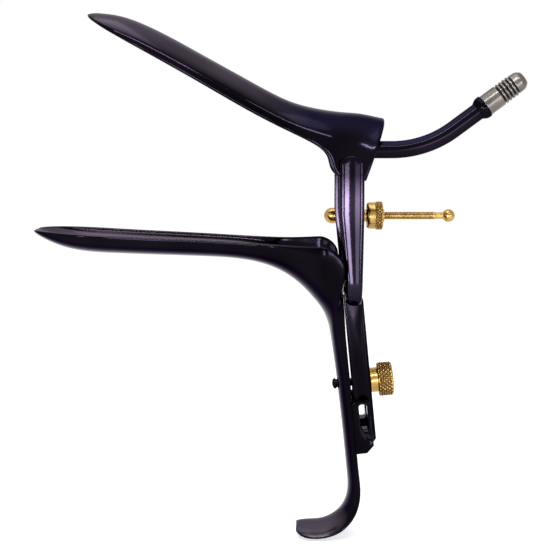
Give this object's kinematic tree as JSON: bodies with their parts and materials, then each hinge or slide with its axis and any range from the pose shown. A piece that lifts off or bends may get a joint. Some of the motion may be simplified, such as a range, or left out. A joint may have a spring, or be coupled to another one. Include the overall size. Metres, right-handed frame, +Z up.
{
  "type": "bivalve speculum",
  "caption": "Bivalve speculum with spoon-shaped blades, hinged yoke on a slotted stem, threaded rod with angle nut, height nut, and a smoke tube with hose nipple.",
  "frame": {"origin": "middle of the hinge axis, where the line of sight passes between the upper blade's ears", "axes": "+Z up, -X along the blades to their tips, +X towards the user, +Y the user's right"},
  "size_m": [0.1805, 0.0597, 0.1921],
  "materials": {
    "black_coating": "glossy black insulating coating over steel sheet",
    "brass": "turned and knurled brass",
    "stainless_steel": "turned stainless steel"
  },
  "bodies": {
    "lower": {"lower_blade": "black_coating", "height_stud": "black_coating"},
    "yoke": {"yoke_frame": "black_coating", "stem_guides": "black_coating", "hinge_screw_left": "black_coating", "hinge_screw_right": "black_coating", "angle_rod": "brass", "rod_acorn_nut": "brass", "rod_end_stop": "brass", "end_stop_pin": "stainless_steel"},
    "upper": {"upper_blade": "black_coating", "thumb_lever": "black_coating", "smoke_tube": "black_coating", "tube_saddle_front": "black_coating", "tube_saddle_rear": "black_coating", "tube_collar": "black_coating", "hose_nipple": "stainless_steel"},
    "angle_nut": {"angle_nut": "brass"},
    "height_nut": {"height_nut": "brass"}
  },
  "joints": [
    {"name": "height_slide", "type": "slide", "parent": "lower", "child": "yoke", "axis": [-0.0958, 0, 0.9954], "range_m": [-0.022, 0.0035]},
    {"name": "blade_tilt", "type": "hinge", "parent": "yoke", "child": "upper", "pos_m": [0, 0, 0], "axis": [0, 1, 0], "range_deg": [-28, 0]},
    {"name": "angle_nut_travel", "type": "slide", "parent": "yoke", "child": "angle_nut", "axis": [1, 0, 0], "range_m": [0, 0.0142]},
    {"name": "height_nut_turn", "type": "hinge", "parent": "lower", "child": "height_nut", "pos_m": [0.00855, 0, -0.08055], "axis": [0.9954, 0, 0.0958], "range_deg": [0, 720]}
  ],
  "couplings": [
    {"joint": "angle_nut_travel", "follows": "blade_tilt", "m_per_rad": -0.0283}
  ]
}
